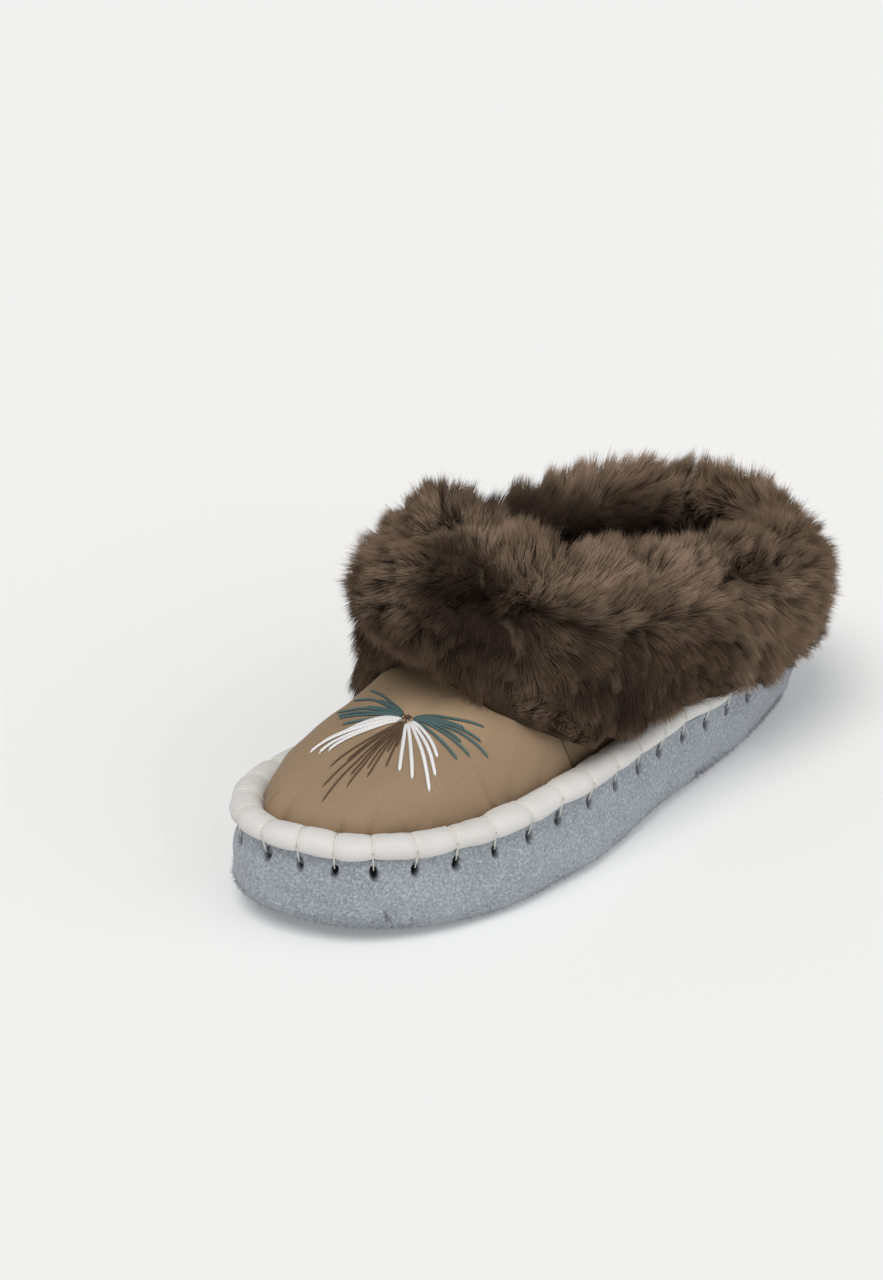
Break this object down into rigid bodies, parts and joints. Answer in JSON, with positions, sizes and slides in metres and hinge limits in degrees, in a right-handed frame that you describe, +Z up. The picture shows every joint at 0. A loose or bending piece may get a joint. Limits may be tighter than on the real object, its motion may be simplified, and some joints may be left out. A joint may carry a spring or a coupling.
{
  "type": "sheepskin moccasin",
  "caption": "Left slipper moccasin with padded suede sole, stitched white leather welt roll, embroidered vamp and deep sheepskin cuff.",
  "frame": {"origin": "on the floor under the middle of the shoe's box", "axes": "-Y to the toe, +Y to the heel, +X to the wearer's left (lateral side), +Z up"},
  "size_m": [0.1102, 0.2686, 0.1235],
  "materials": {
    "sole_suede": "blue-grey napped suede, dull",
    "footbed": "short curly sheepskin pile",
    "welt_leather": "off-white smooth leather, soft sheen",
    "upper_leather": "tan nubuck, low sheen",
    "sheepskin": "deep taupe-brown sheepskin pile"
  },
  "bodies": {
    "root": {"outsole": "sole_suede", "insole": "footbed", "welt_roll": "welt_leather", "upper": "upper_leather", "fur_cuff": "sheepskin"}
  },
  "joints": []
}
